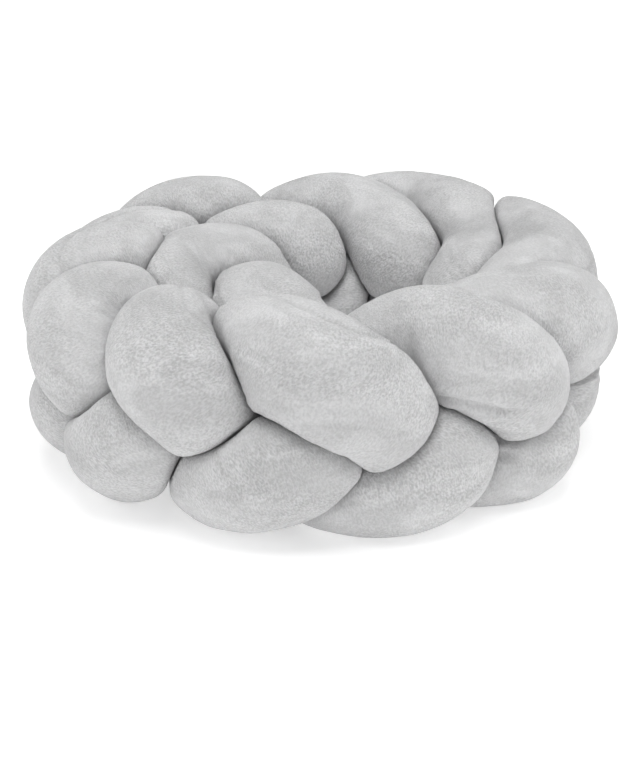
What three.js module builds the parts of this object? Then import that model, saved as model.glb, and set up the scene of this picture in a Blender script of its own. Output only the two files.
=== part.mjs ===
// A braided crib bumper: three long stuffed tubes of plush, plaited flat and coiled up for store.
// The plait stands on its lower edge and its coil makes about one and a half turns. Seen from above
// it winds inwards counterclockwise. Each tube is one closed solid, squashed where the others press.
import * as THREE from 'three';

// Driving dimensions in millimetres, angles in degrees
const STRAND_RADIUS = 58; // a stuffed tube where nothing presses on it
const MID_HEIGHT = 101; // the plait's middle above the surface it stands on
const RISE = 52; // how far a tube's middle swings above and below that height
const TOP_LEAN = 8; // the plait's top edge leans outwards by this and its lower edge inwards
const SIDE_SWAY = 2; // falling stretches lie this much further out, rising ones further in
const PRESSED_GAP = 3; // between two tubes that press on each other, at their middles' planes
const SOFTNESS = 6; // how sharply a tube turns from round to pressed flat
const FIRST_END = 0.55; // the coil's outer end, in passes
const LAST_END = 14.6; // the coil's inner end, in passes
const END_LENGTH = 50; // each tube closes in a rounded end of this length
const BEND_LIMIT = 0.9; // a section stops short of the centre of a tight bend by this share
const OWN_TURN = 290; // a tube meets itself again only past this length of its own run
const SPACING = 34; // the least room between two tubes' middles
const EASE_ROUNDS = 12; // rounds of easing the middles apart to that spacing
const EASE_WIDTH = 30; // half the length over which one push is spread along a tube
const EASE_STEP = 1.5; // makes up for what the spreading takes off a push
const NEAR = 150; // a section feels other tubes whose middles lie within this distance
const STRANDS = 3;
const SIDES = 16;
const STATIONS = 140;
const FEELERS = 520; // points on each tube's middle that the tubes are eased and pressed by
const PLAN_MIDDLE = new THREE.Vector2(1.64, -10.11); // the plan's middle, from the coil's own centre

// The coil, a row for each pass of a tube over the top edge. Bearing goes counterclockwise from the
// front, and reach is the plait's distance from the coil's centre. Sag lowers the top edge, swing is
// how far a tube wanders to both sides, spread carries its falling half onwards, and girth scales it.
const COIL = [
  { pass: -1, bearing: -200, reach: 182, sag: 0, swing: 30, spread: 15, girth: 1 },
  { pass: 0, bearing: -172, reach: 185, sag: 0, swing: 30, spread: 15, girth: 1 },
  { pass: 1, bearing: -142, reach: 188, sag: 0, swing: 30, spread: 15, girth: 1 },
  { pass: 2, bearing: -116, reach: 190, sag: 6, swing: 30, spread: 10, girth: 1 },
  { pass: 3, bearing: -90, reach: 194, sag: 8, swing: 28, spread: 5, girth: 1 },
  { pass: 4, bearing: -66, reach: 200, sag: 8, swing: 24, spread: 0, girth: 0.88 },
  { pass: 5, bearing: -39, reach: 213, sag: 4, swing: 28, spread: 0, girth: 0.95 },
  { pass: 6, bearing: -9, reach: 210, sag: 6, swing: 30, spread: -5, girth: 1.04 },
  { pass: 7, bearing: 29, reach: 204, sag: 5, swing: 30, spread: -20, girth: 1 },
  { pass: 8, bearing: 62, reach: 190, sag: 12, swing: 30, spread: 5, girth: 1 },
  { pass: 9, bearing: 101, reach: 190, sag: 14, swing: 38, spread: 28, girth: 0.95 },
  { pass: 10, bearing: 140, reach: 195, sag: 8, swing: 38, spread: 30, girth: 0.95 },
  { pass: 11, bearing: 168, reach: 187, sag: 4, swing: 34, spread: 26, girth: 1.04 },
  { pass: 12, bearing: 203, reach: 140, sag: 14, swing: 30, spread: 10, girth: 1 },
  { pass: 13, bearing: 246, reach: 112, sag: 8, swing: 30, spread: 5, girth: 0.88 },
  { pass: 14, bearing: 326, reach: 86, sag: 16, swing: 28, spread: 0, girth: 0.9 },
  { pass: 15, bearing: 382, reach: 90, sag: 16, swing: 28, spread: 0, girth: 1 },
  { pass: 16, bearing: 438, reach: 94, sag: 16, swing: 28, spread: 0, girth: 1 },
];

// Where one tube lies otherwise than the even plait, a row for each place. Edge and pass say which
// crossing, and late how far past it, in passes. Up, out and along move the tube's middle there.
const NUDGES = [
  { edge: 'bottom', pass: 2, late: 0, up: 0, out: 24, along: 0 },
  { edge: 'bottom', pass: 3, late: 0, up: 0, out: 18, along: 0 },
  { edge: 'bottom', pass: 3, late: 0.9, up: 6, out: 8, along: 0 },
  { edge: 'bottom', pass: 4, late: -0.4, up: 0, out: 0, along: -10 },
  { edge: 'bottom', pass: 4, late: 0.35, up: 6, out: 10, along: 0 },
  { edge: 'bottom', pass: 4, late: 0.9, up: 6, out: 6, along: -12 },
  { edge: 'bottom', pass: 5, late: 0, up: 0, out: 6, along: -6 },
  { edge: 'bottom', pass: 5, late: 0.6, up: 0, out: 0, along: -8 },
  { edge: 'bottom', pass: 6, late: 0, up: 0, out: 20, along: -4 },
  { edge: 'top', pass: 2, late: -0.6, up: 0, out: 18, along: 0 },
  { edge: 'top', pass: 2, late: 0.4, up: -12, out: 0, along: 0 },
  { edge: 'top', pass: 3, late: 0.4, up: 8, out: 0, along: 0 },
  { edge: 'top', pass: 4, late: -0.4, up: -4, out: 16, along: 0 },
  { edge: 'top', pass: 4, late: 0.45, up: 0, out: 9, along: 0 },
  { edge: 'top', pass: 5, late: -0.4, up: 0, out: 0, along: 8 },
  { edge: 'top', pass: 5, late: 0.95, up: 4, out: 5, along: -6 },
  { edge: 'top', pass: 6, late: 0.2, up: 0, out: 0, along: 4 },
  { edge: 'top', pass: 6, late: 0.95, up: 8, out: 0, along: -16 },
  { edge: 'top', pass: 7, late: -0.5, up: 0, out: 0, along: 32 },
  { edge: 'top', pass: 7, late: 0.85, up: -14, out: 5, along: 0 },
  { edge: 'top', pass: 8, late: -0.5, up: -12, out: 0, along: -12 },
  { edge: 'top', pass: 9, late: -0.5, up: -12, out: 0, along: -36 },
  { edge: 'top', pass: 9, late: -0.1, up: -34, out: -6, along: -26 },
  { edge: 'top', pass: 9, late: 0.5, up: 28, out: 17, along: 10 },
  { edge: 'top', pass: 10, late: -0.5, up: 0, out: 0, along: -40 },
  { edge: 'top', pass: 10, late: -0.1, up: -32, out: 0, along: -28 },
  { edge: 'top', pass: 10, late: 0.55, up: 29, out: 14, along: 22 },
  { edge: 'top', pass: 11, late: -0.5, up: 0, out: 0, along: -20 },
  { edge: 'top', pass: 11, late: -0.1, up: -6, out: 0, along: 0 },
  { edge: 'top', pass: 11, late: 0.5, up: 0, out: 0, along: 14 },
  { edge: 'top', pass: 12, late: -0.5, up: 0, out: 0, along: 20 },
  { edge: 'top', pass: 12, late: 0.6, up: 0, out: -12, along: -8 },
  { edge: 'top', pass: 13, late: 0.2, up: 0, out: 8, along: 0 },
];
const NUDGE_WIDTH = 0.75; // half a nudge's reach along the coil, in passes
const PASS_LENGTH = 120; // one pass along the coil, for spread and along
const BOTTOM_LAG = 1.5; // a tube is lowest this many passes after it is highest

const plush = new THREE.MeshStandardMaterial({ color: 0xc4c4c6, roughness: 0.95, metalness: 0 });

const UP = new THREE.Vector3(0, 0, 1);

// A smooth hill of height 1 over 0 that has died away at 2 on both sides
function hill(x) {
  const a = Math.abs(x);
  if (a >= 2) return 0;
  return a < 1 ? 1 - 1.5 * a * a + 0.75 * a * a * a : 0.25 * (2 - a) ** 3;
}

// One column of the coil's table as a smooth curve. Hills one pass apart add up to 1.5.
function column(name, t) {
  return COIL.reduce((sum, row) => sum + (row[name] * hill(t - row.pass)) / 1.5, 0);
}

function coilPoint(t) {
  const bearing = THREE.MathUtils.degToRad(column('bearing', t));
  const reach = column('reach', t);
  return new THREE.Vector3(reach * Math.sin(bearing), -reach * Math.cos(bearing), 0);
}

// How the nudges move one tube at t, and only at the crossings that are its own
function nudged(strand, t) {
  const sum = { up: 0, out: 0, along: 0 };
  for (const row of NUDGES) {
    if ((row.pass - 1 - strand) % STRANDS !== 0) continue;
    const crossing = row.pass + (row.edge === 'bottom' ? BOTTOM_LAG : 0);
    const share = hill((t - crossing - row.late) / NUDGE_WIDTH);
    for (const way of ['up', 'out', 'along']) sum[way] += share * row[way];
  }
  return sum;
}

// The middle of a tube at t. The tube swings once up and down in three passes, and twice out and in.
function middle(strand, t) {
  const phase = (2 * Math.PI * (t - 1 - strand)) / STRANDS;
  const nudge = nudged(strand, t);
  const place = t + (nudge.along + column('spread', t) * Math.sin(phase)) / PASS_LENGTH;
  const step = 0.001;
  const point = coilPoint(place);
  const along = coilPoint(place + step).sub(point).normalize();
  const outward = new THREE.Vector3(along.y, -along.x, 0);
  const side = column('swing', t) * Math.sin(2 * phase) + TOP_LEAN * Math.cos(phase)
    + SIDE_SWAY * Math.sin(phase) + nudge.out;
  const sag = (column('sag', t) * (1 + Math.cos(phase))) / 2;
  point.addScaledVector(outward, side);
  point.z = MID_HEIGHT + RISE * Math.cos(phase) - sag + nudge.up;
  return point;
}

// Each point of a line told how much of the tube lies behind it
function measured(line) {
  line.forEach((here, i) => {
    here.run = i === 0 ? 0 : line[i - 1].run + here.point.distanceTo(line[i - 1].point);
  });
  return line;
}

function sameStretch(a, b) {
  return a.strand === b.strand && Math.abs(a.run - b.run) < OWN_TURN;
}

// How far a point is pushed off by the nearest point of each line, half of what it lacks in spacing
function pushOf(here, lines) {
  const push = new THREE.Vector3();
  for (const line of lines) {
    let nearest = null;
    let least = SPACING;
    for (const point of line) {
      const distance = here.point.distanceTo(point.point);
      if (distance >= least || sameStretch(here, point)) continue;
      nearest = point;
      least = distance;
    }
    if (nearest === null) continue;
    const away = here.point.clone().sub(nearest.point).normalize();
    push.addScaledVector(away, (SPACING - least) / 2);
  }
  return push;
}

// The tubes' middles eased apart until hardly any two of them lie nearer than the spacing
function easedApart(lines) {
  for (let round = 0; round < EASE_ROUNDS; round++) {
    lines.forEach(measured);
    for (const here of lines.flat()) here.push = pushOf(here, lines);
    for (const line of lines) {
      for (const here of line) {
        const move = new THREE.Vector3();
        let weight = 0;
        for (const point of line) {
          const share = hill((point.run - here.run) / EASE_WIDTH);
          move.addScaledVector(point.push, share);
          weight += share;
        }
        here.move = move.multiplyScalar(EASE_STEP / weight);
      }
    }
    for (const here of lines.flat()) here.point.add(here.move);
  }
  return lines.map(measured);
}

// A line as evenly spaced points, each with its girth, its frame and how the tube bends there
function evenly(line, count) {
  const length = line[line.length - 1].run;
  const points = [];
  for (let i = 0, k = 0; i <= count; i++) {
    const run = (length * i) / count;
    while (k < line.length - 2 && line[k + 1].run < run) k += 1;
    const share = (run - line[k].run) / (line[k + 1].run - line[k].run);
    const t = THREE.MathUtils.lerp(line[k].t, line[k + 1].t, share);
    const toEnd = Math.min(run, length - run, END_LENGTH) / END_LENGTH;
    const rounding = Math.sqrt(1 - (1 - toEnd) ** 2);
    const point = line[k].point.clone().lerp(line[k + 1].point, share);
    points.push({ strand: line[k].strand, run, point, girth: column('girth', t) * rounding });
  }
  points.forEach((here, i) => {
    const before = points[Math.max(i - 1, 0)];
    const after = points[Math.min(i + 1, count)];
    here.along = after.point.clone().sub(before.point).normalize();
    here.side = new THREE.Vector3().crossVectors(here.along, UP).normalize();
    here.over = new THREE.Vector3().crossVectors(here.side, here.along);
  });
  points.forEach((here, i) => {
    const before = points[Math.max(i - 1, 0)];
    const after = points[Math.min(i + 1, count)];
    here.bend = after.along.clone().sub(before.along).divideScalar(after.run - before.run);
  });
  return points;
}

// The planes that press on a section: one half-way to each near point of the other tubes, and of
// this tube's own other turns, moved towards the thinner of the two.
function pressedPlanes(here, feelers) {
  const planes = [];
  for (const point of feelers) {
    const way = point.point.clone().sub(here.point);
    const distance = way.length();
    if (distance > NEAR || sameStretch(here, point) || here.girth + point.girth === 0) continue;
    const share = here.girth / (here.girth + point.girth);
    planes.push({ way, limit: share * distance * distance - (PRESSED_GAP / 2) * distance });
  }
  return planes;
}

// The section's radius in one direction: round where free, flat where pressed, cut at the surface
function sectionRadius(here, planes, direction) {
  let pressed = Infinity;
  for (const { way, limit } of planes) {
    const slope = direction.dot(way);
    if (slope > 1e-6) pressed = Math.min(pressed, limit / slope);
  }
  const bending = direction.dot(here.bend);
  if (bending > 1e-6) pressed = Math.min(pressed, BEND_LIMIT / bending);
  const free = STRAND_RADIUS * here.girth;
  let radius = (free ** -SOFTNESS + Math.max(pressed, 1) ** -SOFTNESS) ** (-1 / SOFTNESS);
  if (direction.z < 0) radius = Math.min(radius, here.point.z / -direction.z);
  return radius;
}

// A closed skin over rings of points, with one point at each end
function skin(rings, first, last) {
  const positions = [first, ...rings.flat(), last];
  const sides = rings[0].length;
  const at = (ring, side) => 1 + ring * sides + (side % sides);
  const faces = [];
  for (let side = 0; side < sides; side++) {
    faces.push(0, at(0, side), at(0, side + 1));
    faces.push(positions.length - 1, at(rings.length - 1, side + 1), at(rings.length - 1, side));
  }
  for (let ring = 0; ring < rings.length - 1; ring++) {
    for (let side = 0; side < sides; side++) {
      const corners = [at(ring, side), at(ring + 1, side), at(ring + 1, side + 1), at(ring, side + 1)];
      faces.push(corners[0], corners[1], corners[2], corners[0], corners[2], corners[3]);
    }
  }
  const geometry = new THREE.BufferGeometry();
  geometry.setAttribute('position', new THREE.Float32BufferAttribute(
    positions.flatMap((p) => [p.x, p.y, p.z]), 3));
  geometry.setIndex(faces);
  geometry.computeVertexNormals();
  return geometry;
}

function makeStrand(line, feelers) {
  const rings = line.slice(1, -1).map((here) => {
    const planes = pressedPlanes(here, feelers);
    return Array.from({ length: SIDES }, (_, side) => {
      const angle = (2 * Math.PI * side) / SIDES;
      const direction = here.side.clone().multiplyScalar(Math.cos(angle))
        .addScaledVector(here.over, Math.sin(angle));
      return here.point.clone().addScaledVector(direction, sectionRadius(here, planes, direction));
    });
  });
  return skin(rings, line[0].point, line[STATIONS].point);
}

const bumper = new THREE.Group();
const middles = easedApart([0, 1, 2].map((strand) => Array.from({ length: FEELERS }, (_, i) => {
  const t = THREE.MathUtils.lerp(FIRST_END, LAST_END, i / (FEELERS - 1));
  return { strand, t, point: middle(strand, t) };
})));
const feelers = middles.flatMap((line) => evenly(line, FEELERS));
['strand_a', 'strand_b', 'strand_c'].forEach((name, strand) => {
  const mesh = new THREE.Mesh(makeStrand(evenly(middles[strand], STATIONS), feelers), plush);
  mesh.name = name;
  mesh.position.set(-PLAN_MIDDLE.x, -PLAN_MIDDLE.y, 0);
  bumper.add(mesh);
});

export default bumper;
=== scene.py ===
# %% [markdown]
# # A braided crib bumper
#
# Three long stuffed tubes of short-pile plush are plaited flat, and the plait is coiled up for
# store. This lesson builds the tubes as they really lie, squashed against each other, and then
# gives them their puckers, their sewn seams and their plush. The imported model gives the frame, so
# everything is in metres with +Z up, and each new piece lies where its solid lies.

# %% Load the frame
import bpy
import math
import numpy as np
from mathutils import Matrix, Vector


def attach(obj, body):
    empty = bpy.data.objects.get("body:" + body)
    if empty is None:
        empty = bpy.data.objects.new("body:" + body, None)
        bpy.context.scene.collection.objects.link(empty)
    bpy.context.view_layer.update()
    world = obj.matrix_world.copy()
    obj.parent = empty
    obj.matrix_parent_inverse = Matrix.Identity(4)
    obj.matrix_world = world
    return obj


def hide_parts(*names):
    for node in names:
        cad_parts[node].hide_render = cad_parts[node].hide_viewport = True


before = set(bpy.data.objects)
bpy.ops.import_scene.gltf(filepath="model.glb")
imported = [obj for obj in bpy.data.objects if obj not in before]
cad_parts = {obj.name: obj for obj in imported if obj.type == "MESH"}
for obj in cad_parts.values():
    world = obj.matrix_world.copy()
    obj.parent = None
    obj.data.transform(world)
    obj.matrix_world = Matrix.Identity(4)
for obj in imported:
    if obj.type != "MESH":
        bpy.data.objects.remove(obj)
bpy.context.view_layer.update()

# %% [markdown]
# ## The plait as numbers
#
# A flat plait of three follows a simple rule. Each tube swings up and down once in three passes,
# and in and out twice, and the next tube does the same one pass later. Laid along a spiral, that
# rule gives the whole bumper. A hand-laid plait isn't even, so one table has a row for each pass
# over the top edge, and a second has a row for each place where a tube lies otherwise. Sizes are
# in millimetres and degrees. They are those of the solids, so that the cloth fits them, but for
# small changes: a tube is fuller by its pile, and a few passes are slimmer or lie up to 12 mm off.

# %% Sizes of the plait
STRANDS = ["strand_a", "strand_b", "strand_c"]
STRAND_RADIUS = 61.5  # a stuffed tube where nothing presses on it, with its pile
MID_HEIGHT = 101.0  # the plait's middle above the surface it stands on
RISE = 52.0  # how far a tube's middle swings above and below that height
TOP_LEAN = 8.0  # the top edge leans outwards by this, the lower edge inwards
SIDE_SWAY = 2.0  # falling stretches lie this much further out
PASS_LENGTH = 120.0  # one pass along the coil
FIRST_END, LAST_END = 0.55, 14.6  # the coil's ends, in passes
print("tube thickness in mm:", 2 * STRAND_RADIUS)

# %% The coil, pass by pass
# bearing in degrees from the front; reach, sag, swing and spread in mm; girth as a share
COIL_COLUMNS = ("pass", "bearing", "reach", "sag", "swing", "spread", "girth")
COIL = np.array([
    (-1, -200, 182, 0, 30, 15, 1.00),
    (0, -172, 185, 0, 30, 15, 1.00),
    (1, -142, 188, 0, 30, 15, 1.00),
    (2, -116, 190, 6, 30, 10, 1.00),
    (3, -90, 194, 8, 28, 5, 1.00),
    (4, -66, 200, 8, 24, 0, 0.88),
    (5, -39, 213, 4, 28, 0, 0.95),
    (6, -9, 210, 6, 30, -5, 0.98),
    (7, 29, 204, 5, 30, -20, 1.00),
    (8, 62, 190, 12, 30, 5, 1.00),
    (9, 101, 190, 14, 38, 28, 0.95),
    (10, 140, 195, 8, 38, 30, 0.95),
    (11, 168, 187, 4, 34, 26, 0.98),
    (12, 203, 140, 14, 30, 10, 0.95),
    (13, 246, 112, 8, 30, 5, 0.88),
    (14, 326, 86, 16, 28, 0, 0.90),
    (15, 382, 90, 16, 28, 0, 1.00),
    (16, 438, 94, 16, 28, 0, 1.00),
])
print("passes over the top edge:", len(COIL))

# %% Where a tube lies otherwise
# edge, pass, how many passes after the crossing, then how far it moves up, out and along in mm
NUDGES = [
    ("bottom", 2, 0, 0, 24, 0),
    ("bottom", 3, 0, 0, 18, 0),
    ("bottom", 3, 0.9, 6, 8, 0),
    ("bottom", 4, -0.4, 0, 0, -10),
    ("bottom", 4, 0.35, 6, 10, 0),
    ("bottom", 4, 0.9, 6, 6, -12),
    ("bottom", 5, 0, 0, 6, -6),
    ("bottom", 5, 0.6, 0, 0, -8),
    ("bottom", 6, 0, 0, 20, -4),
    ("bottom", 7, 0, 0, 12, 0),
    ("top", 2, -0.6, 0, 18, 0),
    ("top", 2, 0.4, -12, 0, 0),
    ("top", 3, 0.4, 8, 0, 0),
    ("top", 4, -0.4, -4, 16, 0),
    ("top", 4, 0.45, 0, 9, 0),
    ("top", 5, -0.4, 0, 0, 8),
    ("top", 5, 0.95, 4, 5, -6),
    ("top", 6, 0.2, 2, 3, 6),
    ("top", 6, 0.95, 8, 0, -16),
    ("top", 7, -0.5, 0, 0, 32),
    ("top", 7, 0.85, -14, 5, 0),
    ("top", 8, -0.5, -12, 0, -12),
    ("top", 9, -0.5, -12, 0, -36),
    ("top", 9, -0.1, -34, -6, -26),
    ("top", 9, 0.5, 32, 17, 22),
    ("top", 10, -0.5, 0, 0, -40),
    ("top", 10, -0.1, -32, 0, -28),
    ("top", 10, 0.55, 29, 14, 22),
    ("top", 11, -0.5, 0, 0, -20),
    ("top", 11, -0.1, -6, 0, 0),
    ("top", 11, 0.5, 0, 0, 14),
    ("top", 12, -0.5, 0, 0, 20),
    ("top", 12, 0.6, 0, -12, -8),
    ("top", 13, 0.2, 0, 8, 0),
    ("top", 14, 0, 0, 0, 12),
]
NUDGE_WIDTH = 0.75  # half a nudge's reach along the coil, in passes
BOTTOM_LAG = 1.5  # a tube is lowest this many passes after it is highest
print("nudges:", len(NUDGES))

# %% [markdown]
# ## The middle line of each tube
#
# A table's column becomes a smooth curve when each row stands for a low hill and the hills are
# added up. That needs no spline editor, and a changed row moves only its own stretch. The outcome
# is a line of points down the middle of each tube.

# %% From rows to curves
HILLS_TOGETHER = 1.5  # what the hills of evenly spaced rows add up to, anywhere between them


def hill(x):
    """A smooth hill of height 1 over 0 that has died away at 2 on both sides."""
    a = np.abs(x)
    inner = 1 - 1.5 * a**2 + 0.75 * a**3
    outer = 0.25 * np.clip(2 - a, 0, None) ** 3
    return np.where(a < 1, inner, outer)


def curve_over(places, heights, spacing, t):
    """A smooth curve at t over rows that lie evenly spaced."""
    return hill((t[:, None] - places) / spacing) @ heights / HILLS_TOGETHER


def column(name, t):
    """One column of the coil's table at t."""
    return curve_over(COIL[:, 0], COIL[:, COIL_COLUMNS.index(name)], 1, t)


# %% The middle of a tube
LOOK_AHEAD = 0.001  # in passes, to find which way the coil runs


def coil_point(t):
    """The coil's own line at t, seen from above."""
    bearing = np.radians(column("bearing", t))
    reach = column("reach", t)
    return np.stack([reach * np.sin(bearing), -reach * np.cos(bearing)], axis=1)


def nudged(strand, t):
    """How the nudges move one tube at t: up, out and along."""
    moves = np.zeros((3, len(t)))
    for edge, number, late, *move in NUDGES:
        if (number - 1 - strand) % len(STRANDS) == 0:
            crossing = number + (BOTTOM_LAG if edge == "bottom" else 0)
            share = hill((t - crossing - late) / NUDGE_WIDTH)
            moves += np.array(move, float)[:, None] * share
    return moves


def middle(strand, t):
    """The plait's rule: where the middle of one tube lies at t."""
    phase = 2 * math.pi * (t - 1 - strand) / len(STRANDS)
    up, out, along = nudged(strand, t)
    place = t + (along + column("spread", t) * np.sin(phase)) / PASS_LENGTH
    point = coil_point(place)
    ahead = coil_point(place + LOOK_AHEAD) - point
    ahead /= np.linalg.norm(ahead, axis=1, keepdims=True)
    outward = np.stack([ahead[:, 1], -ahead[:, 0]], axis=1)
    side = (column("swing", t) * np.sin(2 * phase) + TOP_LEAN * np.cos(phase)
            + SIDE_SWAY * np.sin(phase) + out)
    sag = column("sag", t) * (1 + np.cos(phase)) / 2
    height = MID_HEIGHT + RISE * np.cos(phase) - sag + up
    return np.column_stack([point + outward * side[:, None], height])


# %% The three middle lines
LINE_POINTS = 520
passes = np.linspace(FIRST_END, LAST_END, LINE_POINTS)
middles = [middle(strand, passes) for strand in range(len(STRANDS))]


def run_of(line):
    """How much of the tube lies behind each point of its middle line."""
    steps = np.linalg.norm(np.diff(line, axis=0), axis=1)
    return np.concatenate([[0], np.cumsum(steps)])


print("tube lengths in mm:", [round(run_of(line)[-1]) for line in middles])

# %% [markdown]
# ## Easing the tubes apart
#
# Stuffed tubes can't pass through each other. Where the even rule lays two of them almost on one
# line, both give way. A few rounds of small pushes do that: each point moves off half of what it
# lacks in spacing, and each push is spread along the tube so that the line stays smooth.

# %% How hard the tubes push each other
SPACING = 34.0  # the least room between two tubes' middles
OWN_TURN = 290.0  # a tube meets itself again only past this length of its own run


def apart(here, there, here_run, there_run, same):
    """Distances from each point of one line to each point of another, own stretch left out."""
    distance = np.linalg.norm(here[:, None] - there[None], axis=2)
    if same:
        distance[np.abs(here_run[:, None] - there_run[None]) < OWN_TURN] = np.inf
    return distance


def push_of(strand, lines, runs):
    """How far each point of one tube is pushed off by the nearest point of each line."""
    push = np.zeros_like(lines[strand])
    for other, line in enumerate(lines):
        distance = apart(lines[strand], line, runs[strand], runs[other], strand == other)
        nearest = distance.argmin(axis=1)
        least = distance.min(axis=1)
        lack = np.clip(SPACING - least, 0, None) / 2
        push += (lines[strand] - line[nearest]) * (lack / least)[:, None]
    return push


# %% Ease the middles apart
EASE_ROUNDS = 12
EASE_WIDTH = 30.0  # half the length over which one push is spread
EASE_STEP = 1.5  # makes up for what the spreading takes off a push
for ease_round in range(EASE_ROUNDS):
    runs = [run_of(line) for line in middles]
    pushes = [push_of(strand, middles, runs) for strand in range(len(STRANDS))]
    for strand, run in enumerate(runs):
        share = hill((run[:, None] - run[None]) / EASE_WIDTH)
        share *= EASE_STEP / share.sum(axis=1, keepdims=True)
        middles[strand] = middles[strand] + share @ pushes[strand]
print("largest last push in mm:", round(max(np.abs(p).max() for p in pushes), 2))

# %% [markdown]
# ## The squashed sections
#
# Where nothing touches it, a stuffed tube is round. Where two tubes press on each other, each ends
# half-way between their middles, so the skin there is flat. That could be simulated, but a rule is
# quicker and always gives the same result: each section feels for the planes half-way to its
# neighbours and stops short of them. A soft minimum turns from round to flat without an edge. A
# tube swept along a curve by Geometry Nodes would be simpler still, but it is as round where it is
# pressed as anywhere else.

# %% Evenly spaced sections
STIFFNESS = 20.0  # stuffing lets no tube kink, so its middle line is averaged over this length
END_LENGTH = 50.0  # each tube closes in a rounded end of this length


def smooth_between(x, known_x, known_y):
    """A smooth curve through known points, so that no facet of the line shows on the skin."""
    slope = np.gradient(known_y, known_x, axis=0)
    k = np.clip(np.searchsorted(known_x, x, side="right") - 1, 0, len(known_x) - 2)
    step = (known_x[k + 1] - known_x[k])[:, None]
    s = ((x - known_x[k])[:, None]) / step
    return ((1 + 2 * s) * (1 - s) ** 2 * known_y[k] + s * (1 - s) ** 2 * step * slope[k]
            + s**2 * (3 - 2 * s) * known_y[k + 1] - s**2 * (1 - s) * step * slope[k + 1])


def evenly(line, count):
    """Evenly spaced points of a middle line, with girth, frame and bend."""
    run = run_of(line)
    spots = np.linspace(0, run[-1], count + 1)
    t = np.interp(spots, run, passes)
    to_end = np.minimum(np.minimum(spots, run[-1] - spots), END_LENGTH) / END_LENGTH
    girth = column("girth", t) * np.sqrt(1 - (1 - to_end) ** 2)
    point = smooth_between(spots, run, line)
    near = np.exp(-(((spots[:, None] - spots) / STIFFNESS) ** 2) / 2)
    average = near @ point / near.sum(axis=1, keepdims=True)
    point += to_end[:, None] * (average - point)
    along = np.gradient(point, axis=0)
    along /= np.linalg.norm(along, axis=1, keepdims=True)
    side = np.cross(along, (0, 0, 1))
    side /= np.linalg.norm(side, axis=1, keepdims=True)
    over = np.cross(side, along)
    bend = np.gradient(along, spots, axis=0)
    return {"run": spots, "t": t, "to_end": to_end, "point": point, "girth": girth,
            "along": along, "side": side, "over": over, "bend": bend}


# %% How far a section reaches
PRESSED_GAP = 1.0  # between two tubes that press on each other
SOFTNESS = 13  # how sharply a tube turns from round to pressed flat
BEND_LIMIT = 0.9  # a section stops short of the centre of a tight bend by this share
NEAR = 150.0  # a section feels other tubes whose middles lie within this distance
TINY = 1e-6  # keeps a division away from 0
LEAST_FREE, LEAST_PRESSED = 1e-3, 1.0  # the smallest reaches that the soft minimum is given
feelers = [evenly(line, 2 * LINE_POINTS) for line in middles]


def half_way_planes(strand, tube, ring):
    """Ways to the near points of the other tubes, and how far along each the skin may reach."""
    ways, limits = [], []
    for other, feeler in enumerate(feelers):
        way = feeler["point"] - tube["point"][ring]
        distance = np.linalg.norm(way, axis=1)
        near = distance < NEAR
        near &= tube["girth"][ring] + feeler["girth"] > 0
        if other == strand:
            near &= np.abs(feeler["run"] - tube["run"][ring]) >= OWN_TURN
        share = tube["girth"][ring] / (tube["girth"][ring] + feeler["girth"][near])
        ways.append(way[near])
        limits.append(share * distance[near] ** 2 - PRESSED_GAP / 2 * distance[near])
    return np.concatenate(ways), np.concatenate(limits)


def ray_length(slope, limit):
    """How far a ray runs until it meets a plane. One that turns away from the plane never does."""
    return np.where(slope > TINY, limit / np.maximum(slope, TINY), np.inf)


def soft_minimum(a, b):
    """The smaller of two reaches, rounded off where they are nearly the same."""
    return (a ** -SOFTNESS + b ** -SOFTNESS) ** (-1 / SOFTNESS)


def section_radii(strand, tube):
    """The skin's reach in each direction: as it lies, as pressed, and up to what it touches."""
    directions = tube["directions"]
    touch = np.full(directions.shape[:2], np.inf)
    for ring in range(len(directions)):
        ways, limits = half_way_planes(strand, tube, ring)
        touch[ring] = ray_length(directions[ring] @ ways.T, limits).min(axis=1)
    bending = (directions * tube["bend"][:, None]).sum(axis=2)
    pressed = np.minimum(touch, ray_length(bending, BEND_LIMIT))
    free = STRAND_RADIUS * tube["girth"][:, None]
    radii = soft_minimum(np.maximum(free, LEAST_FREE), np.maximum(pressed, LEAST_PRESSED))
    ground = ray_length(-directions[:, :, 2], tube["point"][:, 2:])
    return np.minimum(radii, ground), np.minimum(pressed, ground), np.minimum(touch, ground)


# %% Squash the sections
RINGS = 800  # sections along each tube
SIDES = 112  # points around each section
END_RINGS = 20  # left out where the thinnest place is looked for
angles = np.linspace(0, 2 * math.pi, SIDES, endpoint=False)
tubes = []
for strand, line in enumerate(middles):
    tube = evenly(line, RINGS)
    tube["directions"] = (tube["side"][:, None] * np.cos(angles)[:, None]
                          + tube["over"][:, None] * np.sin(angles)[:, None])
    tube["radii"], tube["pressed"], tube["touch"] = section_radii(strand, tube)
    tubes.append(tube)
    thinnest = tube["radii"][END_RINGS:-END_RINGS].min()
    print(STRANDS[strand], "thinnest radius in mm:", round(thinnest, 1))

# %% [markdown]
# ## Cloth on stuffing
#
# A smooth skin looks like rubber. Real plush has more to it. Stuffing is lumpy, so the skin swells
# and sinks a little. Cloth on the inner side of a bend, or around a squeezed section, has less
# room than it was cut for, so it throws wrinkles. And each tube was sewn from a flat piece, so a
# seam runs along it. Code does all of this, without a cloth simulation. A cloth simulation from
# the sewn tube was tried for this. It took half a minute for each tube, moved the skin by less
# than a millimetre in most places and threw no wrinkles, so code does it instead. Everything is
# worked out on the tube as it was sewn: a flat grid, one way along and one around.

# %% Smooth random fields on the flat tube
AROUND_STEP = 2 * math.pi * STRAND_RADIUS / SIDES
SEED = 7
rng = np.random.default_rng(SEED)


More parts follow.
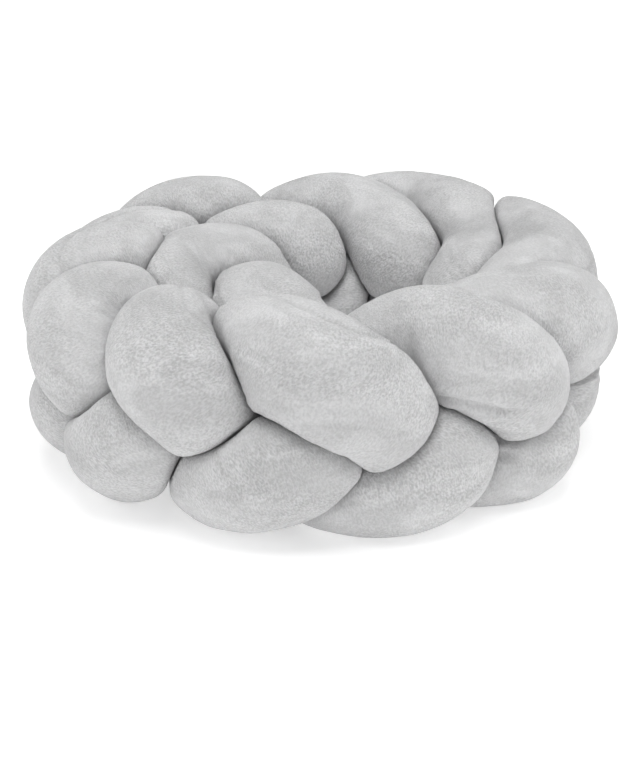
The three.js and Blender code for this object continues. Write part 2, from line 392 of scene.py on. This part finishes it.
def blurred(field, tube, along, around):
    """A field blurred by so many millimetres along the tube and around it. The grid wraps."""
    rows, sides = field.shape
    u = np.fft.fftfreq(rows, tube["run"][1])[:, None]
    v = np.fft.fftfreq(sides, AROUND_STEP)
    soft = np.exp(-2 * math.pi**2 * ((u * along) ** 2 + (v * around) ** 2))
    return np.fft.ifft2(np.fft.fft2(field) * soft).real


def random_field(tube, along, around):
    """Smooth random swells of about height 1."""
    field = blurred(rng.standard_normal(tube["radii"].shape), tube, along, around)
    return field / field.std()


# %% Round the edges that the flat places leave between them
ROUNDING = (3.0, 5.0)  # along the tube and around it
for tube in tubes:
    rounded = blurred(tube["radii"], tube, *ROUNDING)
    tube["radii"] = np.minimum(rounded, np.maximum(tube["pressed"], tube["radii"]))
print("edges rounded over", ROUNDING, "mm")

# %% [markdown]
# ## Wrinkles
#
# The skin's own grid tells where cloth is short of room: its rings lie closer together on the
# inner side of a bend, and its points lie closer together around a squeezed section. A wrinkle of
# a given length takes up spare cloth by its height, which grows as the square root of what is
# spare. So the height follows from the grid, and random streaks, laid across the squeeze, give the
# wrinkles themselves. Plush stretches, so the first part of a squeeze leaves no mark.

# %% Wrinkles from spare cloth
WRINKLE_LENGTH = 9.0  # from one ridge to the next
STREAK_LENGTH = 13.0  # how far a ridge runs before it fades
GIVE_ALONG, GIVE_AROUND = 0.30, 0.12  # share of a squeeze that the plush takes up unseen
WRINKLE_LIMIT = 2.2  # the stuffing holds every wrinkle below this height
SPARE_BLUR = 4.0  # spare cloth is shared with the skin about it
LEAST_GIRTH = 0.3  # the rounded ends were sewn narrow, so they aren't squeezed
PATCH_REACH, PATCH_MEAN, PATCH_SPREAD = 30.0, 0.6, 0.4  # wrinkles come in patches


def skin_points(tube):
    return tube["point"][:, None] + tube["directions"] * tube["radii"][:, :, None]


def spare_cloth(tube):
    """The share of the cloth that is spare along the tube and around it, at every point."""
    points = skin_points(tube)
    along = np.linalg.norm(np.gradient(points, axis=0), axis=2) / tube["run"][1]
    next_point, last_point = np.roll(points, -1, axis=1), np.roll(points, 1, axis=1)
    around = np.linalg.norm(next_point - last_point, axis=2) / (2 * AROUND_STEP)
    around /= np.maximum(tube["girth"], LEAST_GIRTH)[:, None]
    return [blurred(1 - room, tube, SPARE_BLUR, SPARE_BLUR) for room in (along, around)]


def wrinkle_height(spare, give):
    return WRINKLE_LENGTH / math.pi * np.sqrt(np.clip(spare - give, 0, None))


def wrinkles(tube):
    along, around = spare_cloth(tube)
    narrow = WRINKLE_LENGTH / 4
    across = random_field(tube, narrow, STREAK_LENGTH)
    lengthwise = random_field(tube, STREAK_LENGTH, narrow)
    moved = across * wrinkle_height(along, GIVE_ALONG)
    moved += lengthwise * wrinkle_height(around, GIVE_AROUND)
    patchy = PATCH_MEAN + PATCH_SPREAD * random_field(tube, PATCH_REACH, PATCH_REACH)
    return WRINKLE_LIMIT * np.tanh(moved * patchy / WRINKLE_LIMIT)


# %% [markdown]
# ## Pinches
#
# At the edge of each squeezed place the cloth puckers, with short pleats that run out of the edge
# square to it. They are weak along most of the edges, and a table names the places where the
# hand-laid plait pinches hardest. Random dots smeared square to the edge give the pleats.

# %% Where the tubes pinch hardest
# strand, pass, turn around the tube in degrees (0 outwards, 90 up), width in mm, depth in mm
PINCHES = [
    (0, 4.27, 104, 26, 2.6),
    (1, 11.05, 130, 34, 3.0),
    (1, 8.15, 336, 32, 4.0),
    (0, 8.86, 19, 26, 3.0),
    (1, 6.67, 17, 26, 2.4),
    (0, 7.20, 341, 30, 2.6),
    (2, 7.60, 14, 26, 3.0),
    (1, 13.85, 50, 28, 4.0),
    (0, 12.95, 141, 28, 3.6),
    (2, 5.75, 15, 30, 2.0),
    (2, 6.25, 348, 44, 2.0),
]


def shorter_way(distance, whole):
    """A distance around the tube, taken the shorter way."""
    return (distance + whole / 2) % whole - whole / 2


def pinch_strength(strand, tube):
    strength = np.zeros_like(tube["radii"])
    for number, t, turn, width, depth in PINCHES:
        if number == strand:
            along = tube["run"] - np.interp(t, tube["t"], tube["run"])
            around = shorter_way(angles - math.radians(turn), 2 * math.pi)
            away = np.hypot(along[:, None], STRAND_RADIUS * around[None])
            strength += depth * np.exp(-((away / width) ** 2))
    return strength


# %% Where squeezed places end
THIN_END = 0.05  # the least girth that is divided by
ROOM_LEAST, ROOM_MOST = 0.3, 3.0  # room beyond these counts as these
ROOM_BLUR = 3.0
EDGE_MIDDLE, EDGE_WIDTH = 0.10, 0.22  # how much room there is at the edge of a squeezed place


def room_for(tube, reach):
    """The room in each direction, as a logarithm that is 0 where it is just a free tube's."""
    free = STRAND_RADIUS * np.maximum(tube["girth"], THIN_END)[:, None]
    share = np.clip(reach / free, ROOM_LEAST, ROOM_MOST)
    return blurred(np.log(share), tube, ROOM_BLUR, ROOM_BLUR)


def squeezed_edge(room):
    """1 at the edge of a squeezed place, fading to 0 on the free skin and deep in the contact."""
    return np.exp(-(((room - EDGE_MIDDLE) / EDGE_WIDTH) ** 2))


# %% Pleats square to the edge
PLEAT_REACH = 30.0  # how far a pleat runs out of the edge
PLEAT_HEIGHT = 0.8
SMEAR_STEPS = 10
FINE_DOTS, COARSE_DOTS = 2.6, 7.0  # the coarser field is taken off, which leaves separate dots
WEAK_REACH, WEAK_LEAST, WEAK_SPREAD = 40.0, 0.3, 0.3  # pleats away from the pinches


def smeared(field, tube, toward):
    """A field smeared along a direction on the flat tube, which turns dots into streaks."""
    rows, sides = field.shape
    row, side = np.meshgrid(np.arange(rows), np.arange(sides), indexing="ij")
    total = np.zeros_like(field)
    for k in range(-SMEAR_STEPS, SMEAR_STEPS + 1):
        share = math.exp(-((2 * k / SMEAR_STEPS) ** 2))
        r = row + k * PLEAT_REACH / SMEAR_STEPS * toward[0] / tube["run"][1]
        c = side + k * PLEAT_REACH / SMEAR_STEPS * toward[1] / AROUND_STEP
        r0, c0 = np.floor(r).astype(int), np.floor(c).astype(int)
        for dr, row_share in ((0, 1 - r + r0), (1, r - r0)):
            for dc, side_share in ((0, 1 - c + c0), (1, c - c0)):
                there = field[(r0 + dr) % rows, (c0 + dc) % sides]
                total += share * row_share * side_share * there
    return total / total.std()


def pleats(strand, tube):
    room = room_for(tube, tube["pressed"])
    rise = np.gradient(room, tube["run"][1], AROUND_STEP)
    steep = np.hypot(*rise) + TINY
    dots = random_field(tube, FINE_DOTS, FINE_DOTS) - random_field(tube, COARSE_DOTS, COARSE_DOTS)
    streaks = smeared(dots, tube, (rise[0] / steep, rise[1] / steep))
    patchy = np.clip(random_field(tube, WEAK_REACH, WEAK_REACH), 0, 2)
    strength = WEAK_LEAST + WEAK_SPREAD * patchy + pinch_strength(strand, tube)
    return streaks * squeezed_edge(room) * strength * PLEAT_HEIGHT


# %% [markdown]
# ## The sewn seam and the deepest creases
#
# The seam wanders around the tube as it was twisted while plaiting, so a table gives its turn at
# a few passes. It is a soft groove, and the thread gathers the cloth on both sides into short
# ripples. The stitches themselves are sunk in the pile, so none are made. A few creases, where a
# tube is folded hard against the next one, have a table as well.

# %% Where each seam lies
SEAM_ROWS_APART = 3  # passes from one row to the next
# strand, pass, turn in degrees
SEAM_TURNS = np.array([
    (0, -2, 150), (0, 1, 150), (0, 4, 140), (0, 7, 170), (0, 10, 160), (0, 13, 200), (0, 16, 160),
    (0, 19, 160), (1, -1, 90), (1, 2, 90), (1, 5, 92), (1, 8, 150), (1, 11, 260), (1, 14, -20),
    (1, 17, 20), (1, 20, 20), (2, -3, 80), (2, 0, 80), (2, 3, 60), (2, 6, 112), (2, 9, 20),
    (2, 12, -10), (2, 15, 20), (2, 18, 20),
])
SEAM_DEPTH, SEAM_WIDTH = 1.8, 2.6
GATHER_LENGTH, GATHER_REACH, GATHER_DEPTH = 9.0, 11.0, 0.7
UNEVEN, UNEVEN_ALONG, UNEVEN_AROUND = 1.2, 14.0, 40.0  # no two ripples are the same


def seam_turn(strand, t):
    """How far around the tube its seam lies at t."""
    rows = SEAM_TURNS[SEAM_TURNS[:, 0] == strand]
    return np.radians(curve_over(rows[:, 1], rows[:, 2], SEAM_ROWS_APART, t))


def seam(strand, tube):
    """How the seam moves the skin, and how near each point is to it."""
    away = angles[None] - seam_turn(strand, tube["t"])[:, None]
    away = STRAND_RADIUS * shorter_way(away, 2 * math.pi)
    near = np.exp(-((away / SEAM_WIDTH) ** 2))
    wander = UNEVEN * random_field(tube, UNEVEN_ALONG, UNEVEN_AROUND)
    ripple = np.cos(2 * math.pi * tube["run"][:, None] / GATHER_LENGTH + wander)
    gather = GATHER_DEPTH * ripple * np.exp(-np.abs(away) / GATHER_REACH) * (1 - near)
    return gather - SEAM_DEPTH * near, near


# %% Where the deepest creases lie
# strand, then pass and turn of the start, middle and end, width in mm, depth in mm
CREASES = [
    (0, (9.50, 100), (9.65, 112), (9.85, 128), 2.2, 2.4),
    (0, (4.14, 36), (4.30, 38), (4.42, 22), 1.8, 1.0),
    (0, (7.06, 342), (7.16, 347), (7.27, 345), 4.0, 4.5),
    (2, (7.62, 22), (7.56, 24), (7.50, 20), 3.5, 3.0),
    (1, (6.70, 28), (6.66, 34), (6.64, 42), 3.0, 2.5),
    (1, (6.60, 24), (6.57, 30), (6.56, 36), 3.0, 2.0),
]
CREASE_POINTS = 25
LIP_AWAY, LIP_HEIGHT = 2.2, 0.5  # a soft lip on each side, in widths away and in shares of depth


def crease_line(tube, ends):
    """Points along a crease on the flat tube: a curve through its start, middle and end."""
    start, halfway, end = [
        np.array([np.interp(t, tube["t"], tube["run"]), STRAND_RADIUS * math.radians(turn)])
        for t, turn in ends
    ]
    s = np.linspace(0, 1, CREASE_POINTS)[:, None]
    return start * (1 - s) * (1 - 2 * s) + halfway * 4 * s * (1 - s) + end * s * (2 * s - 1)


def creases(strand, tube):
    moved = np.zeros_like(tube["radii"])
    for number, *ends, width, depth in CREASES:
        if number == strand:
            line = crease_line(tube, ends)
            along = tube["run"][:, None, None] - line[:, 0]
            around = STRAND_RADIUS * angles[None, :, None] - line[:, 1]
            around = shorter_way(around, 2 * math.pi * STRAND_RADIUS)
            away = np.hypot(along, around).min(axis=2) / width
            lip = LIP_HEIGHT * np.exp(-((away - LIP_AWAY) ** 2))
            moved += depth * (lip - np.exp(-(away**2)))
    return moved


# %% Move the skins
LUMP_HEIGHT, LUMP_ALONG, LUMP_AROUND = 0.9, 26.0, 22.0
DIMPLE_HEIGHT, DIMPLE_REACH = 0.25, 9.0
for strand, tube in enumerate(tubes):
    moved = LUMP_HEIGHT * random_field(tube, LUMP_ALONG, LUMP_AROUND)
    moved += DIMPLE_HEIGHT * random_field(tube, DIMPLE_REACH, DIMPLE_REACH)
    sewn, tube["seam"] = seam(strand, tube)
    moved += sewn + wrinkles(tube) + pleats(strand, tube) + creases(strand, tube)
    moved *= tube["to_end"][:, None]
    smooth = tube["radii"]
    tube["radii"] = np.minimum(smooth + moved, np.maximum(tube["pressed"], smooth))
    moved = tube["radii"] - smooth
    print(STRANDS[strand], "moves in mm:", moved.min().round(1), moved.max().round(1))

# %% [markdown]
# ## The skins
#
# Each tube's rings of points are joined by four-sided faces, with a fan at each end, so the mesh
# is one closed skin. Every point also keeps its place on the flat tube, as it was sewn: how far
# along it is, and where around. The pile and the brush marks, whose lighter and darker patches are
# painted sheen, are laid by that, so they follow the cloth. In a tight bend the rings would meet
# and leave a hard line, so there the skin is averaged.

# %% Soften the folds
FOLD_START = 0.55  # where rings lie closer together than this share of their spacing
FOLD_ROUNDS = 160
FOLD_BLUR, FOLD_SPREAD = 3.0, 5.0
FOLD_ALONG = 0.8  # how much of the averaging runs along the tube, the rest being around it
OPEN_WIDTH = 0.12  # how far from a touch a skin lies open, as a logarithm


def open_share(tube):
    """1 where nothing lies against the skin, fading to 0 where another tube or the floor does."""
    return np.clip(room_for(tube, tube["touch"]) / OPEN_WIDTH, 0, 1)


def fold_share(tube, points):
    """How much each point takes part in the averaging: 0 on the open skin, 1 in a tight fold."""
    ahead = (np.gradient(points, axis=0) * tube["along"][:, None]).sum(axis=2) / tube["run"][1]
    closeness = 2 * (FOLD_START - blurred(ahead, tube, FOLD_BLUR, FOLD_BLUR)) / FOLD_START
    share = np.clip(closeness, 0, 1) * np.maximum(open_share(tube), np.clip(closeness - 1, 0, 1))
    return np.clip(blurred(2 * share, tube, FOLD_SPREAD, FOLD_SPREAD), 0, 1)


def softened(tube, points):
    """Evens out the sharp folds that the sections of a tight bend make where they meet."""
    share = fold_share(tube, points)[1:-1, :, None]
    for fold_round in range(FOLD_ROUNDS):
        between_rings = (points[2:] + points[:-2]) / 2
        between_sides = (np.roll(points, 1, axis=1) + np.roll(points, -1, axis=1))[1:-1] / 2
        goal = FOLD_ALONG * between_rings + (1 - FOLD_ALONG) * between_sides
        points[1:-1] += share * (goal - points[1:-1])
    return points


# %% Join the rings
PLAN_MIDDLE = (1.64, -10.11)  # the middle of the coil's plan box, which is the frame's origin
METRE = 1000.0  # in mm


def skin_faces(rings):
    """Four-sided faces between the rings, and a fan of triangles over each end."""
    faces = []
    for here in range(0, (rings - 1) * SIDES, SIDES):
        for side in range(SIDES):
            after = (side + 1) % SIDES
            faces.append((here + side, here + SIDES + side, here + SIDES + after, here + after))
    first, last, last_ring = rings * SIDES, rings * SIDES + 1, (rings - 1) * SIDES
    for side in range(SIDES):
        after = (side + 1) % SIDES
        faces.append((first, side, after))
        faces.append((last, last_ring + after, last_ring + side))
    return faces


def skin_mesh(name, tube, points):
    """One closed skin. The first and last rings are points, so each becomes the tip of a fan."""
    vertices = np.concatenate([points[1:-1].reshape(-1, 3), tube["point"][[0, -1]]])
    vertices[:, :2] -= PLAN_MIDDLE
    mesh = bpy.data.meshes.new(name)
    mesh.from_pydata((vertices / METRE).tolist(), [], skin_faces(len(points) - 2))
    mesh.polygons.foreach_set("use_smooth", np.ones(len(mesh.polygons), bool))
    piece = bpy.data.objects.new(name, mesh)
    bpy.context.scene.collection.objects.link(piece)
    return piece


# %% Keep each point's place on the flat tube


def keep_place(piece, tube):
    """Stores how far along the tube each point lies and where around, in metres."""
    run = np.repeat(tube["run"][1:-1], SIDES)
    turn = np.tile(angles, len(tube["run"]) - 2)
    place = np.column_stack([run, STRAND_RADIUS * np.cos(turn), STRAND_RADIUS * np.sin(turn)])
    tips = np.array([[tube["run"][0], 0, 0], [tube["run"][-1], 0, 0]])
    place = np.concatenate([place, tips]) / METRE
    attribute = piece.data.attributes.new("cloth_place", "FLOAT_VECTOR", "POINT")
    attribute.data.foreach_set("vector", place.astype(np.float32).ravel())


def keep_seam(piece, tube):
    """Stores how near each point is to the seam. The two tips are on none."""
    near = np.append(tube["seam"][1:-1].ravel(), [0, 0])
    attribute = piece.data.attributes.new("seam_near", "FLOAT", "POINT")
    attribute.data.foreach_set("value", near.astype(np.float32))


skins = []
for name, tube in zip(STRANDS, tubes):
    points = softened(tube, skin_points(tube))
    piece = skin_mesh(name + "_cloth", tube, points)
    keep_place(piece, tube)
    keep_seam(piece, tube)
    skins.append(piece)
    print(piece.name, "faces:", len(piece.data.polygons))

# %% [markdown]
# ## The plush
#
# Short plush isn't one flat grey. Each tuft leans, and where a hand has brushed it another way a
# patch catches the light more or less, with a soft border, which is painted sheen in the colour.
# Closer up the tufts clump into small worms, a millimetre wide and a few long, which catch the
# light on one side. Hair cards could give that, but over two square metres of cloth they would be
# millions of faces, so the worms are bump and colour, laid on the flat tube: the colour is painted
# shade between the worms and painted light on them. Sheen gives the pale rim that a pile has where
# it is seen edge-on.

# %% Small helpers for shader trees


def node(tree, kind, values=(), **settings):
    """A shader node with its settings and its unlinked inputs."""
    made = tree.nodes.new(kind)
    for name, value in settings.items():
        setattr(made, name, value)
    for name, value in dict(values).items():
        made.inputs[name].default_value = value
    return made


def noise(tree, place, sizes, detail, distortion=0):
    """A noise whose grains have the given sizes in millimetres on the flat tube."""
    scale = node(tree, "ShaderNodeMapping", {"Scale": [METRE / size for size in sizes]})
    made = node(tree, "ShaderNodeTexNoise",
                {"Scale": 1, "Detail": detail, "Distortion": distortion})
    tree.links.new(place, scale.inputs["Vector"])
    tree.links.new(scale.outputs["Vector"], made.inputs["Vector"])
    return made


def between(tree, value, low, high, to_low, to_high):
    """Turns a range of a value into another range, with soft ends."""
    made = node(tree, "ShaderNodeMapRange", {"From Min": low, "From Max": high, "To Min": to_low,
                                             "To Max": to_high}, interpolation_type="SMOOTHSTEP")
    tree.links.new(value, made.inputs["Value"])
    return made.outputs["Result"]


def combined(tree, operation, a, b):
    """A sum or product of two values, each of them a socket or a number."""
    made = node(tree, "ShaderNodeMath", operation=operation)
    for socket, value in zip(made.inputs, (a, b)):
        if isinstance(value, (int, float)):
            socket.default_value = value
        else:
            tree.links.new(value, socket)
    return made.outputs["Value"]


# %% The grains of the pile
LEAN_SIZE, LEAN = 50.0, 0.012  # how often and how far the pile leans another way, mm and metres
WORM_SIZES = (0.9, 2.6, 2.6)  # clumps of tufts: along the tube, and the two ways around it
TUFT_SIZES = (8.0,) * 3
SHEEN_PATCH_SIZES = (38.0,) * 3
CRISP_SIZES = (75.0,) * 3
CRISP_RANGE, CRISP_LEAST = (0.35, 0.6), 0.5  # where the pile is brushed smooth, clumps hardly show


def leaning(tree, place):
    """The flat tube's coordinates pushed about, so that the pile leans this way and that."""
    lean = noise(tree, place, (LEAN_SIZE,) * 3, 1)
    push = node(tree, "ShaderNodeVectorMath", operation="MULTIPLY_ADD")
    tree.links.new(lean.outputs["Color"], push.inputs[0])
    push.inputs[1].default_value = (LEAN, LEAN, LEAN)
    tree.links.new(place, push.inputs[2])
    return push.outputs["Vector"]


def grains(tree):
    """Worms, tufts and brushed patches of painted sheen, and how crisp the pile stands."""
    place = node(tree, "ShaderNodeAttribute", attribute_name="cloth_place").outputs["Vector"]
    pile = leaning(tree, place)
    worms = noise(tree, pile, WORM_SIZES, 2).outputs["Fac"]
    tufts = noise(tree, pile, TUFT_SIZES, 2, 0.3).outputs["Fac"]
    patches = noise(tree, place, SHEEN_PATCH_SIZES, 3, 0.8).outputs["Fac"]
    crisp = noise(tree, place, CRISP_SIZES, 1, 0.5).outputs["Fac"]
    return worms, tufts, patches, between(tree, crisp, *CRISP_RANGE, CRISP_LEAST, 1)


# %% How light the pile looks, with painted shade and painted sheen
# clumps of pile: painted shade between them and painted light on them, as shares of the grey
WORM_RANGE, WORM_PAINTED_SHADE, WORM_PAINTED_LIGHT = (0.3, 0.7), -0.20, 0.12
TUFT_RANGE, TUFT_DARK, TUFT_LIGHT = (0.3, 0.7), 0.98, 1.02
# brushed patches: painted sheen, lighter or darker as the pile lies
SHEEN_PATCH_RANGE, SHEEN_PATCH_DARK, SHEEN_PATCH_LIGHT = (0.38, 0.62), 0.92, 1.06
SEAM_DARK = 0.88


def grey_with_painted_light(tree, worms, tufts, patches, crisp):
    """A factor around 1 for the pile's grey, with painted shade and painted sheen in it."""
    # painted shade between the clumps of pile and painted light on them, strongest where the pile
    # is crisp
    clumps = between(tree, worms, *WORM_RANGE, WORM_PAINTED_SHADE, WORM_PAINTED_LIGHT)
    clumps = combined(tree, "ADD", combined(tree, "MULTIPLY", clumps, crisp), 1)
    seam_near = node(tree, "ShaderNodeAttribute", attribute_name="seam_near").outputs["Fac"]
    # painted sheen: brushed patches of pile lighter or darker
    light = between(tree, patches, *SHEEN_PATCH_RANGE, SHEEN_PATCH_DARK, SHEEN_PATCH_LIGHT)
    for factor in (clumps,
                   between(tree, tufts, *TUFT_RANGE, TUFT_DARK, TUFT_LIGHT),
                   between(tree, seam_near, 0, 1, 1, SEAM_DARK)):
        light = combined(tree, "MULTIPLY", light, factor)
    return light


# %% Plush material
PLUSH_GREY = (0.62, 0.62, 0.625, 1)
PILE_HEIGHT, TUFT_RELIEF = 0.0022, 0.5  # metres, and how much the tufts add to it
SOFT_SURFACE = {"Roughness": 0.95, "Specular IOR Level": 0.15, "Sheen Weight": 0.35,
                "Sheen Roughness": 0.5}
MIX_FACTOR, MIX_FIRST, MIX_SECOND, MIX_RESULT = 0, 6, 7, 2  # a Mix node's sockets for colours


def plush_material():
    material = bpy.data.materials.new("light_grey_plush")
    material.use_nodes = True
    tree = material.node_tree
    shader = tree.nodes["Principled BSDF"]
    worms, tufts, patches, crisp = grains(tree)
    colour = node(tree, "ShaderNodeMix", data_type="RGBA", blend_type="MULTIPLY")
    colour.inputs[MIX_FACTOR].default_value = 1
    colour.inputs[MIX_FIRST].default_value = PLUSH_GREY
    tree.links.new(grey_with_painted_light(tree, worms, tufts, patches, crisp), colour.inputs[MIX_SECOND])
    tree.links.new(colour.outputs[MIX_RESULT], shader.inputs["Base Color"])
    height = combined(tree, "ADD", combined(tree, "MULTIPLY", worms, crisp),
                      combined(tree, "MULTIPLY", tufts, TUFT_RELIEF))
    bump = node(tree, "ShaderNodeBump", {"Strength": 1, "Distance": PILE_HEIGHT})
    tree.links.new(height, bump.inputs["Height"])
    tree.links.new(bump.outputs["Normal"], shader.inputs["Normal"])
    for socket, value in SOFT_SURFACE.items():
        shader.inputs[socket].default_value = value
    return material


plush = plush_material()
for piece in skins:
    piece.data.materials.append(plush)
print("finish:", plush.name)

# %% [markdown]
# ## Floor, light and camera
#
# The photo is a studio picture on white with hardly a shadow. A white floor that only reflects
# would turn grey with distance from the lamps, so it glows a little, and more so far behind the
# object, where the picture has to stay white. The glow also lights the undersides, as a white
# table does. The lamps are large and soft, so the folds keep their shape without hard shadows: one
# above, one in front and one at each side, and a wide one behind that whitens the far floor.

# %% Floor
FLOOR_SIZE, FLOOR_DROP = 24.0, 0.0005  # metres; the drop keeps it just clear of the cloth
FLOOR_WHITE, FLOOR_ROUGHNESS = 0.9, 0.8
GLOW_NEAR, GLOW_FAR = 0.40, 0.65
NEAR_END, FAR_START = 1.1, 2.5  # distances from the middle, in metres


def glow_by_distance(tree):
    """How much the floor glows: little by the object and more far from it."""
    place = node(tree, "ShaderNodeTexCoord").outputs["Object"]
    distance = node(tree, "ShaderNodeVectorMath", operation="LENGTH")
    tree.links.new(place, distance.inputs[0])
    return between(tree, distance.outputs["Value"], NEAR_END, FAR_START, GLOW_NEAR, GLOW_FAR)


def add_floor():
    bpy.ops.mesh.primitive_plane_add(size=FLOOR_SIZE)
    floor = bpy.context.object
    floor.name = "pale_floor"
    floor.location.z = -FLOOR_DROP
    material = bpy.data.materials.new("pale_floor")
    material.use_nodes = True
    tree = material.node_tree
    shader = tree.nodes["Principled BSDF"]
    shader.inputs["Base Color"].default_value = (FLOOR_WHITE, FLOOR_WHITE, FLOOR_WHITE, 1)
    shader.inputs["Roughness"].default_value = FLOOR_ROUGHNESS
    shader.inputs["Emission Color"].default_value = (1, 1, 1, 1)
    tree.links.new(glow_by_distance(tree), shader.inputs["Emission Strength"])
    floor.data.materials.append(material)
    return floor


floor = add_floor()
print("floor:", FLOOR_SIZE, "m")

# %% Lamps
AIM = (0, 0, 0.1)
# name, place in metres, size in metres, power in watts
LAMPS = [
    ("top", (0, -0.4, 2.2), 1.6, 34),
    ("front", (0, -2.4, 1.2), 1.6, 10),
    ("left", (-2.0, 0, 1.2), 1.6, 11),
    ("right", (2.0, 0, 1.2), 1.6, 13),
    ("far", (0, 4.0, 3.0), 4.0, 35),
]


def add_lamp(name, place, size, power):
    lamp = bpy.data.lights.new(name, "AREA")
    lamp.size = size
    lamp.energy = power
    holder = bpy.data.objects.new(name, lamp)
    holder.location = place
    holder.rotation_euler = (Vector(AIM) - Vector(place)).to_track_quat("-Z", "Y").to_euler()
    bpy.context.scene.collection.objects.link(holder)


for lamp_row in LAMPS:
    add_lamp(*lamp_row)
print("lamps:", len(LAMPS))

# %% White all around
SKY = 0.16
world = bpy.data.worlds.new("studio")
world.use_nodes = True
background = world.node_tree.nodes["Background"]
background.inputs["Color"].default_value = (1, 1, 1, 1)
background.inputs["Strength"].default_value = SKY
bpy.context.scene.world = world
bpy.context.scene.view_settings.view_transform = "Standard"
print("light from all around:", SKY)

# %% Camera
IMAGE_HEIGHT, SENSOR = 765, 36.0  # the photo's height in pixels, and the sensor's in millimetres
CAMERA_AIM = (-0.0016, 0.0101, 0.1)
CAMERA_TILT, CAMERA_DISTANCE = 20.5, 1.8  # degrees down, and metres
FOCAL_PIXELS, SHIFT_PIXELS = 1830, -50.5


def add_camera():
    camera = bpy.data.objects.new("camera", bpy.data.cameras.new("camera"))
    tilt = math.radians(CAMERA_TILT)
    away = Vector((0, -math.cos(tilt), math.sin(tilt)))
    camera.location = Vector(CAMERA_AIM) + away * CAMERA_DISTANCE
    camera.rotation_euler = (math.pi / 2 - tilt, 0, 0)
    camera.data.sensor_width = SENSOR
    camera.data.lens = FOCAL_PIXELS * SENSOR / IMAGE_HEIGHT
    camera.data.shift_y = SHIFT_PIXELS / IMAGE_HEIGHT
    bpy.context.scene.collection.objects.link(camera)
    bpy.context.scene.camera = camera
    return camera


camera = add_camera()
print("camera:", [round(x, 3) for x in camera.location])

# %% [markdown]
# ## Tie the skins to the frame
#
# The three skins stand for the three plain solids, so they replace them and ride on the same body.

# %% Replace the plain tubes
for strand, piece in zip(STRANDS, skins):
    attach(piece, "root")
    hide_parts(strand)
